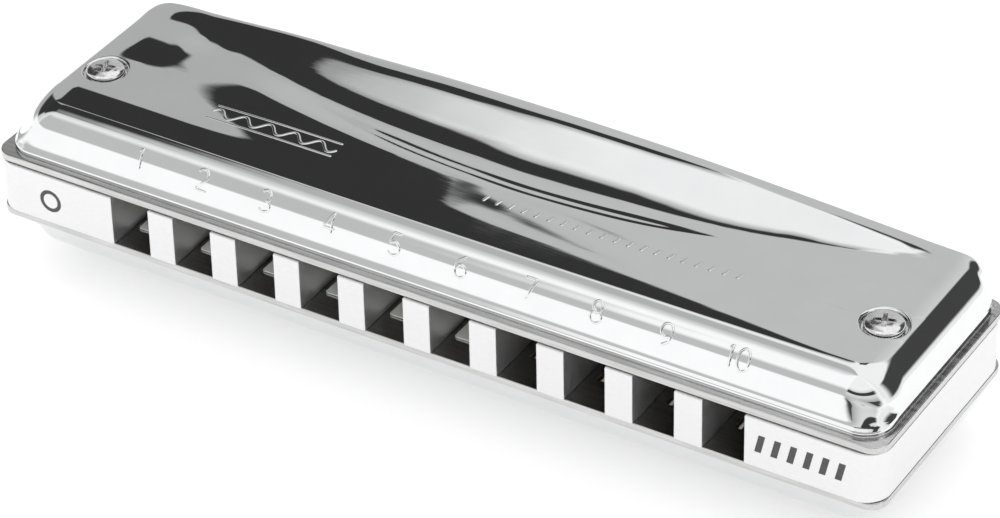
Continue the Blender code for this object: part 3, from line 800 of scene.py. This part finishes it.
def plate_screw_places():
    """Two screws behind the chambers and two in the walls between them."""
    behind = FRONT_Y + 24.6 * MM
    between = FRONT_Y + 4.4 * MM
    wall_left = (hole_x(2) + hole_x(3)) / 2
    wall_right = (hole_x(6) + hole_x(7)) / 2
    return ((-24 * MM, behind), (24 * MM, behind), (wall_left, between), (wall_right, between))


def reed_length(hole):
    return REED_LONGEST - REED_STEP * hole


def ring_mark(shape, near, far, spare=0.0):
    """A plain ring in place of the key letter, made in an empty shape."""
    middle = (COMB_LOW.z + COMB_HIGH.z) / 2 - 0.1 * MM
    outer, inner = 1.28 * MM + spare, 0.86 * MM - spare
    turned(shape, ((inner, near), (outer, near), (outer, far), (inner, far)), 64, closed=True)
    facing = Matrix.Rotation(math.radians(-90), 4, "X")
    shape.transform(Matrix.Translation((-43.35 * MM, 0, middle)) @ facing)


def bar_marks(shape, near, far, spare=0.0):
    """A row of plain leaning bars, in place of the word on the comb."""
    middle = (COMB_LOW.z + COMB_HIGH.z) / 2 + 0.05 * MM
    half, rise, lean = 0.34 * MM + spare, 1.0 * MM + spare, 0.22 * MM
    for step in range(6):
        x = (37.9 + 1.68 * step) * MM
        corners = ((x - half - lean, middle - rise), (x + half - lean, middle - rise),
                   (x + half + lean, middle + rise), (x - half + lean, middle + rise))
        join_rings(shape, [[shape.verts.new((px, y, pz)) for px, pz in corners] for y in (near, far)],
                   caps=True)


def spare_marks(comb):
    """Keeps the bevel off the edges of the sunk marks."""
    comb.modifiers["edges"].limit_method = "WEIGHT"
    shape = bmesh.new()
    shape.from_mesh(comb.data)
    layer = shape.edges.layers.float.new("bevel_weight_edge")
    middle = (COMB_LOW.z + COMB_HIGH.z) / 2

    def on_mark(vert):
        return (vert.co.y < FRONT_Y + 2 * MARK_DEPTH and abs(vert.co.z - middle) < 2 * MM
                and 36.8 * MM < abs(vert.co.x) < 49.5 * MM)

    for edge in shape.edges:
        sharp = len(edge.link_faces) == 2 and edge.calc_face_angle() > BEVEL_ANGLE
        edge[layer] = float(sharp and not all(map(on_mark, edge.verts)))
    shape.to_mesh(comb.data)
    shape.free()


def hole_boxes(shape, half, start, spare, low, high):
    """A box at each hole, from a depth to the end of its slot and some spare beyond that."""
    for hole in range(HOLE_COUNT):
        x = hole_x(hole)
        end = REED_ROOT + reed_length(hole) + SLOT_TIP_GAP + spare
        box_shape(shape, (x - half, FRONT_Y + start, low), (x + half, FRONT_Y + end, high))


def screw_holes(shape, through, *small):
    """The cover screws' holes over one span of heights, and the plate screws' over the others."""
    for x in (-COVER_SCREW_X, COVER_SCREW_X):
        drill_shape(shape, x, FRONT_Y + COVER_SCREW_Y, *through, THROUGH_HOLE)
    for x, y in plate_screw_places():
        for span in small:
            drill_shape(shape, x, y, *span, PLATE_SCREW_HOLE, 24)


def make_comb(metal, ink):
    """The comb: through chambers, screw holes, worn edges and two sunk marks."""
    low, high = COMB_LOW.z, COMB_HIGH.z
    outline = rounded_rectangle(COMB_HIGH.x, COMB_LOW.y, COMB_HIGH.y, EDGE_RADIUS, 14)
    mesh = mesh_from("comb_body", lambda s: extrude_outline(s, outline, low, high))
    comb = link("comb_body", mesh, metal)
    bottom, top = low - PAST, high + PAST
    blind = PLATE_SCREW_BITE + 0.3 * MM
    bottom_of_mark = FRONT_Y + MARK_DEPTH

    def cuts(shape):
        hole_boxes(shape, HOLE_WIDTH / 2, -PAST, CHAMBER_PAST_SLOT, bottom, top)
        screw_holes(shape, (bottom, top), (high - blind, top), (bottom, low + blind))

    def sunk_marks(shape):
        ring_mark(shape, FRONT_Y - PAST, bottom_of_mark, 0.01 * MM)
        bar_marks(shape, FRONT_Y - PAST, bottom_of_mark, 0.01 * MM)

    carve(comb, cuts)
    carve(comb, sunk_marks)
    soften_edges(comb, 0.13 * MM, 3)
    spare_marks(comb)
    keep(comb, "root", "comb_aluminium", "comb")
    face = FRONT_Y + 0.004 * MM
    for name, build in (("comb_ring_mark", ring_mark), ("comb_bar_marks", bar_marks)):
        mesh = mesh_from(name, lambda s: build(s, face, bottom_of_mark + 0.02 * MM))
        keep(link(name, mesh, ink), "root", "comb_aluminium")


def make_plate(name, low, high, metal):
    """A reed plate with its slots, screw holes and ground edges."""
    outline = rounded_rectangle(high.x, low.y, high.y, PLATE_RADIUS, 14)
    mesh = mesh_from(name, lambda s: extrude_outline(s, outline, low.z, high.z))
    plate = link(name + "_sheet", mesh, metal)
    span = (low.z - PAST, high.z + PAST)

    def cuts(shape):
        hole_boxes(shape, REED_HALF + SLOT_SIDE_GAP, REED_ROOT, 0, *span)
        screw_holes(shape, span, span)

    carve(plate, cuts)
    soften_edges(plate, 0.14 * MM, 3)
    keep(plate, "root", "plate_metal", name)


def strip(shape, stations, place):
    """Closed bar along Y with rounded edges; a station is (y, half width, low, high, corner lift)."""
    rings = []
    for y, half, low, high, lift in stations:
        off = min((high - low) * 0.3, half * 0.5)
        section = ((-half, low + off), (off - half, low), (0, low), (half - off, low),
                   (half, low + off), (half, high - off), (half - off, high), (0, high),
                   (off - half, high), (-half, high - off))
        ring = []
        for x, z in section:
            raised = z + lift * float(ease((x / half + 0.2) / 1.2))
            ring.append(shape.verts.new((place[0] + x, place[1] + y, place[2] + raised)))
        rings.append(ring)
    join_rings(shape, rings, caps=True)


def rounded_end(half, radius, steps=6):
    """(distance back from an end, half width there) round the corners of that end."""
    turns = np.linspace(0, math.pi / 2, steps)
    return [(radius * (1 - math.sin(turn)), half - radius * (1 - math.cos(turn)))
            for turn in turns[::-1]]


def make_reed(name, hole, plate_face_z, metal):
    """A milled tongue that thins behind its root, on a round-cornered pad with two weld dents."""
    length = reed_length(hole)
    weight = 0.5 - 0.045 * hole
    stations = []
    for back, half in rounded_end(REED_PAD_HALF, 0.45 * MM):
        stations.append((back - REED_PAD_LENGTH, half, 1.0))
    neck = 0.4 * MM
    stations.append((-neck, REED_PAD_HALF, 1.0))
    for part in np.linspace(0, 1, 6)[1:]:
        half = REED_PAD_HALF - (REED_PAD_HALF - REED_HALF) * float(ease(part))
        stations.append((-neck * (1 - part), half, 1.0))
    for part in np.linspace(0, 1, 30)[1:-1]:
        root, tip = 1 - float(ease(part / 0.25)), float(ease((part - 0.6) / 0.4))
        thin = 0.62 + 0.3 * root + weight * 0.6 * tip
        stations.append((length * part * 0.985, REED_HALF * (1 - 0.06 * part), min(thin, 1.0)))
    last = stations[-1]
    for back, half in rounded_end(last[1], 0.18 * MM)[::-1]:
        stations.append((length - back, half, last[2]))
    x, y, z = place = (hole_x(hole), FRONT_Y + REED_ROOT, plate_face_z - REED_STAND_OFF)
    rows = [(y, half, -REED_THICKNESS * thick, 0.0, 0.0) for y, half, thick in stations]
    reed = link(name + "_tongue", mesh_from(name, lambda s: strip(s, rows, place)), metal)
    dent = ((0, -0.3 * MM), (0.34 * MM, -0.3 * MM), (0.3 * MM, 0.02 * MM), (0.16 * MM, 0.07 * MM),
            (0, 0.08 * MM))

    def dents(shape):
        for side in (-1, 1):
            spot = (x + side * 0.68 * MM, y - 0.8 * MM, z - REED_THICKNESS)
            turned(shape, dent, 20, place=spot)
    carve(reed, dents)
    keep(reed, name, "reed_bronze", name)


def make_valve(name, hole, plate_face_z, raised, film):
    """A flap of two plastic layers: a long soft one and a shorter stiff one over its fixed half."""
    length = VALVE_ROOT_LAP + reed_length(hole) + SLOT_TIP_GAP + VALVE_TIP_LAP
    stations = rounded_end(VALVE_HALF, 0.25 * MM)
    stations += [(length * part, VALVE_HALF) for part in np.linspace(0.05, 0.45, 9)]
    stations += [(length * 0.452, VALVE_HALF)]
    stations += [(length * part, VALVE_HALF) for part in np.linspace(0.5, 0.9, 8)]
    tip = rounded_end(VALVE_HALF, 0.7 * MM)
    stations += [(length - back, half) for back, half in tip[::-1]]
    rows = []
    for y, half in stations:
        thickness = VALVE_THICKNESS if y <= length * 0.451 else VALVE_FILM
        lift = 0.55 * MM * (1 - float(ease(y / (2.4 * MM)))) if raised else 0.0
        curl = 0.06 * MM * float(ease((y / length - 0.6) / 0.4))
        rows.append((y, half, curl, curl + thickness, lift))
    place = (hole_x(hole), FRONT_Y + REED_ROOT - VALVE_ROOT_LAP, plate_face_z + CONTACT_GAP)
    valve = link(name + "_flap", mesh_from(name, lambda s: strip(s, rows, place)), film)
    keep(valve, name, "valve_film", name)


def shank_profile(tip, seat, radius, pitch):
    """(radius, height) points of a threaded shank, from its tip up to the seat of the head."""
    points = [(0, tip), (radius * 0.7, tip), (radius * 0.86, tip + 0.12 * MM)]
    height = tip + 0.2 * MM
    while height + pitch < seat - 0.2 * MM:
        points += [(radius * 0.86, height), (radius, height + pitch * 0.4),
                   (radius, height + pitch * 0.6), (radius * 0.86, height + pitch)]
        height += pitch
    return points + [(radius, seat - 0.1 * MM), (radius, seat)]


def round_head(radius, seat, rim, crown, steps=16):
    """(radius, height) points of a pan head from its seat over its dome to the axis."""
    lip = 0.08 * MM
    points = [(radius - lip, seat), (radius, seat + lip), (radius, seat + rim - lip)]
    for part in np.linspace(0, 1, steps):
        turn = math.radians(90 * part)
        points.append((radius * math.cos(turn) ** 0.8 if part < 1 else 0,
                       seat + rim + (crown - rim) * math.sin(turn)))
    return points


def make_cover_screw(side, x, metal):
    """Pan head with a tapered cross recess, in the upper dimple."""
    name = f"cover_screw_{side}"
    low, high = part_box(name)
    y = (low.y + high.y) / 2
    crown = 0.95 * MM
    seat = high.z - crown
    profile = (shank_profile(low.z, seat, 0.9 * MM, 0.35 * MM)
               + round_head(2.0 * MM, seat, 0.42 * MM, crown))
    mesh = mesh_from(name, lambda s: turned(s, profile, 48, place=(x, y, 0)))
    screw = link(name + "_pan", mesh, metal)
    top = seat + 1.4 * MM

    def recess(shape):
        floor = (seat + 0.25 * MM, 0.62 * MM, 0.15 * MM)
        for turn in (0.35, 0.35 + math.pi / 2):
            rings = []
            for z, reach, blade in (floor, (top, 1.5 * MM, 0.26 * MM)):
                corners = ((-reach, -blade), (reach, -blade), (reach, blade), (-reach, blade))
                rings.append([shape.verts.new((x + px * math.cos(turn) - py * math.sin(turn),
                                               y + px * math.sin(turn) + py * math.cos(turn), z))
                              for px, py in corners])
            join_rings(shape, rings, caps=True)

    cone = ((0, seat + 0.2 * MM), (0.3 * MM, seat + 0.3 * MM), (0.52 * MM, top), (0, top))
    carve(screw, recess, crossing=True)
    carve(screw, lambda s: turned(s, cone, 24, place=(x, y, 0)))
    soften_edges(screw, 0.035 * MM)
    keep(screw, "root", "screw_steel", name)


def make_cover_nut(side, x, metal):
    """Flanged round nut in the lower dimple, slotted for a driver."""
    name = f"cover_nut_{side}"
    low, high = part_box(name)
    y = (low.y + high.y) / 2
    bore, radius = 0.96 * MM, 2.0 * MM
    profile = ((bore, high.z), (bore, low.z + 0.1 * MM), (bore + 0.1 * MM, low.z),
               (radius * 0.72, low.z), (radius * 0.9, low.z + 0.1 * MM),
               (radius, low.z + 0.32 * MM), (radius, high.z))
    mesh = mesh_from(name, lambda s: turned(s, profile, 64, closed=True, place=(x, y, 0)))
    nut = link(name + "_flanged", mesh, metal)
    carve(nut, lambda s: box_shape(s, (x - 0.3 * MM, y - 3 * MM, low.z - PAST),
                                   (x + 0.3 * MM, y + 3 * MM, low.z + 0.35 * MM)))
    soften_edges(nut, 0.04 * MM)
    keep(nut, "root", "screw_steel", name)


def make_plate_screw(name, x, y, upwards, metal):
    """Small slotted brass screw on a plate's outer face; upwards is +1 on the upper plate."""
    low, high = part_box(name)
    head = 0.6 * MM
    seat = high.z - head if upwards > 0 else low.z + head
    tip = low.z if upwards > 0 else high.z
    reach = abs(tip - seat)
    profile = (shank_profile(-reach, 0, 0.65 * MM, 0.3 * MM)
               + round_head(1.4 * MM, 0, 0.4 * MM, head, 10))

    def build(shape):
        turned(shape, profile, 48)
        shape.transform(Matrix.Translation((x, y, seat)) @ Matrix.Scale(upwards, 4, (0, 0, 1)))

    screw = link(name + "_slotted", mesh_from(name, build), metal)
    near, far = sorted((seat + upwards * 0.27 * MM, seat + upwards * 1.6 * MM))
    carve(screw, lambda s: box_shape(s, (x - 2 * MM, y - 0.2 * MM, near),
                                     (x + 2 * MM, y + 0.2 * MM, far)))
    soften_edges(screw, 0.03 * MM)
    keep(screw, "root", "plate_screw_brass", name)

def make_works():
    """Everything under the covers, and the screws."""
    make_comb(surface("satin_aluminium"), surface("grey_ink"))
    plated = surface("plated_brass")
    make_plate("upper_reed_plate", UPPER_PLATE_LOW, UPPER_PLATE_HIGH, plated)
    make_plate("lower_reed_plate", LOWER_PLATE_LOW, LOWER_PLATE_HIGH, plated)
    bronze = surface("reed_bronze")
    milky = {"Subsurface Weight": 0.2, "Subsurface Radius": (0.0006, 0.0006, 0.0005)}
    film = surface("valve_film", milky)
    for hole in range(HOLE_COUNT):
        number = f"{hole + 1:02d}"
        make_reed(f"blow_reed_{number}", hole, UPPER_PLATE_LOW.z, bronze)
        make_reed(f"draw_reed_{number}", hole, LOWER_PLATE_LOW.z, bronze)
    for hole in VALVED_BLOW_HOLES:
        make_valve(f"blow_valve_{hole + 1:02d}", hole, UPPER_PLATE_HIGH.z, False, film)
    for hole in VALVED_DRAW_HOLES:
        raised = hole in RAISED_CORNER_HOLES
        make_valve(f"draw_valve_{hole + 1:02d}", hole, LOWER_PLATE_HIGH.z, raised, film)
    steel, brass = surface("screw_steel"), surface("screw_brass")
    for side, x in (("left", -COVER_SCREW_X), ("right", COVER_SCREW_X)):
        make_cover_screw(side, x, steel)
        make_cover_nut(side, x, steel)
    for index, (x, y) in enumerate(plate_screw_places(), start=1):
        make_plate_screw(f"upper_plate_screw_{index}", x, y, 1, brass)
        make_plate_screw(f"lower_plate_screw_{index}", x, y, -1, brass)


def make_covers(material):
    """Both covers, and the marks pressed into the upper one."""
    upper = build_cover("upper_cover_shell", UPPER_COVER_LOW.z, False, material)
    keep(upper, "root", "cover_chrome", "upper_cover")
    for name, build in (("upper_cover_numbers", number_beads),
                        ("upper_cover_ornament", ornament_beads)):
        mesh = mesh_from(name, build, math.radians(60))
        keep(link(name, mesh, material), "root", "cover_chrome")
    lower = build_cover("lower_cover_shell", LOWER_FOOT_Z, True, material)
    keep(lower, "root", "cover_chrome", "lower_cover")


# Studio

def make_camera():
    camera = bpy.data.objects.new("camera", bpy.data.cameras.new("camera"))
    bpy.context.scene.collection.objects.link(camera)
    azimuth, tilt, roll = map(math.radians, (31.85, 90 - 35.185, -1.276))
    turn = (Matrix.Rotation(azimuth, 3, "Z") @ Matrix.Rotation(tilt, 3, "X")
            @ Matrix.Rotation(roll, 3, "Z"))
    camera.rotation_mode = "QUATERNION"
    camera.rotation_quaternion = turn.to_quaternion()
    row_middle = Vector((HOLE_ROW_SHIFT, FRONT_Y, COMB_LOW.z))
    camera.location = row_middle + Vector((181.53, -276.54, 243.71)) * MM
    camera.data.sensor_width = 36
    camera.data.lens = 152.35
    camera.data.clip_start = 0.01
    bpy.context.scene.camera = camera


def make_floor():
    """A pale floor at the lowest point of the pieces, with a little light of its own."""
    half, level = 3.0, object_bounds()[0].z
    verts = [(x, y, level) for x, y in ((-half, -half), (half, -half), (half, half), (-half, half))]
    floor = link("floor", mesh_of("floor", verts, [(0, 1, 2, 3)], smooth=False))
    made = Surface("floor_light_table", (0.52, 0.52, 0.52), 0.0, 0.95)
    made.fill(made.shader, {"Emission Color": (1, 1, 1, 1), "Emission Strength": 0.45})
    floor.data.materials.append(made.material)


class Formula:
    """A number in a node tree, with arithmetic that adds Math nodes."""

    tree = None

    def __init__(self, socket):
        self.socket = socket

    @classmethod
    def math(cls, operation, *terms):
        node = cls.tree.nodes.new("ShaderNodeMath")
        node.operation = operation
        for slot, term in zip(node.inputs, terms):
            if isinstance(term, Formula):
                cls.tree.links.new(term.socket, slot)
            else:
                slot.default_value = term
        return cls(node.outputs[0])

    def __add__(self, other):
        return self.math("ADD", self, other)

    def __sub__(self, other):
        return self.math("SUBTRACT", self, other)

    def __rsub__(self, other):
        return self.math("SUBTRACT", other, self)

    def __mul__(self, other):
        return self.math("MULTIPLY", self, other)

    def over(self, other):
        return self.math("MAXIMUM", self, other)

    def under(self, other):
        return self.math("MINIMUM", self, other)

    def rise(self, low, high):
        """0 below low, 1 above high, smooth between; low over high falls instead."""
        node = self.tree.nodes.new("ShaderNodeMapRange")
        node.interpolation_type = "SMOOTHSTEP"
        self.tree.links.new(self.socket, node.inputs["Value"])
        node.inputs["From Min"].default_value = low
        node.inputs["From Max"].default_value = high
        return Formula(node.outputs["Result"])

    def towards(self, other, share):
        """Runs from this to other as share goes from 0 to 1."""
        return self + self.__rsub__(other) * share


def studio_pattern(tree):
    """What the chrome mirrors: soft boxes, grey walls and dark gaps, by compass angle and height.

    Both are in degrees. Turn is 0 behind the harmonica and negative towards the low notes.
    """
    Formula.tree = tree
    coords = tree.nodes.new("ShaderNodeTexCoord")
    split = tree.nodes.new("ShaderNodeSeparateXYZ")
    tree.links.new(coords.outputs["Generated"], split.inputs["Vector"])
    x, y, z = (Formula(split.outputs[axis]) for axis in "XYZ")
    turn = Formula.math("ARCTAN2", x, y) * math.degrees(1)
    height = Formula.math("ARCSINE", z) * math.degrees(1)

    # The back wall: grey low down, pale higher up, white to the right
    low_edge = turn.rise(-36.5, -34.9) * 3.4 + turn.rise(-39.5, -37.5) * 1.8 + 34.6
    rightward = (turn + 38).over(0)
    high_edge = 49.6 - rightward * rightward * 0.07 - (turn * -1 - 45).over(0) * 1.3
    middle = (height - (low_edge + high_edge) * 0.5).rise(-1, 1)
    grey = turn.rise(-38, -29) * 0.1 + 0.47
    leftward = turn.rise(-52, -43) * 0.47 + 0.5
    bright = leftward * ((height - high_edge).rise(0.5, 4.5) * 0.45 + 0.55)
    side_light = (height - low_edge).rise(-1, 1) * turn.rise(-27, -26.2)
    level = grey.towards(bright, middle).towards(1.0, side_light)
    right_end = turn.rise(-26.6, -24.6) * turn.rise(60, 40) * height.rise(46, 43)
    level = level.towards(turn.rise(-20, 6) * 0.13 + 0.57, right_end)

    # The mouth side: a soft box with a grey band under it, and a wall behind the camera
    right_side = turn.rise(85, 100)
    soft_box = turn.rise(-98, -132).over(right_side) * 0.4 + 0.7
    band_edge = 51 - turn.rise(-138, -150) * 14
    grey_band = turn.rise(-112, -122) * (height - band_edge).rise(5, -5)
    front = soft_box.towards(0.58, grey_band).towards(1.12, height.rise(17, 12))
    far_wall = height.rise(4, 32) * 0.5 + 0.3
    far_wall = far_wall.towards(0.05, height.rise(31, 33) * height.rise(43, 40))
    far_wall = far_wall.towards(1.0, height.rise(44, 50))
    far_wall = far_wall.towards(0.06, height.rise(14, 12) * height.rise(4, 6))
    front = front.towards(far_wall, turn.rise(-160, -168).over(turn.rise(96, 108)))
    level = level.towards(front, turn.rise(-80, -100).over(right_side))

    # The dark gaps that give the land and the shoulders their black shapes
    over_low = (height - low_edge).rise(-0.8, 0.8)
    gap = over_low * (height - high_edge).rise(0.8, -0.8) * turn.rise(-26.2, -27.0)
    left_top = ((turn * -1 - 48) * 0.35 + 51).under(58.5)
    above_lens = turn.rise(-49.2, -50.4) * height.rise(46.8, 47.8)
    left_gap = over_low * (height - left_top).rise(1.5, -1.5) * turn.rise(-106, -98)
    left_gap = left_gap * above_lens.over(turn.rise(-53, -55))
    level = level.towards(0.036, gap.over(left_gap))
    left_corner = turn.rise(-52, -56) * turn.rise(-100, -92)
    level = level.towards(0.04, left_corner * height.rise(36.5, 35) * height.rise(12, 18))
    right_corner = turn.rise(-24.5, -23) * turn.rise(-12, -14)
    level = level.towards(0.05, right_corner * height.rise(41.5, 43) * height.rise(51, 49))
    end_gap = turn.rise(2, 9) * turn.rise(85, 70) * height.rise(46, 42)
    level = level.towards(0.95, end_gap).towards(0.06, end_gap * height.rise(4, 10))
    return level * 1.07


def make_world():
    """Even light for matt surfaces, and the studio for whatever mirrors it."""
    world = bpy.data.worlds.new("studio")
    bpy.context.scene.world = world
    world.use_nodes = True
    tree = world.node_tree
    pattern = studio_pattern(tree)
    mirrored = Formula(tree.nodes.new("ShaderNodeLightPath").outputs["Is Glossy Ray"])
    even_light = Formula.math("ADD", 1.45, 0)
    level = even_light.towards(pattern, mirrored)
    tree.links.new(level.socket, tree.nodes["Background"].inputs["Color"])
    bpy.context.scene.view_settings.view_transform = "Standard"


make_camera()
make_world()
make_works()
make_covers(surface("mirror_chrome"))
make_floor()
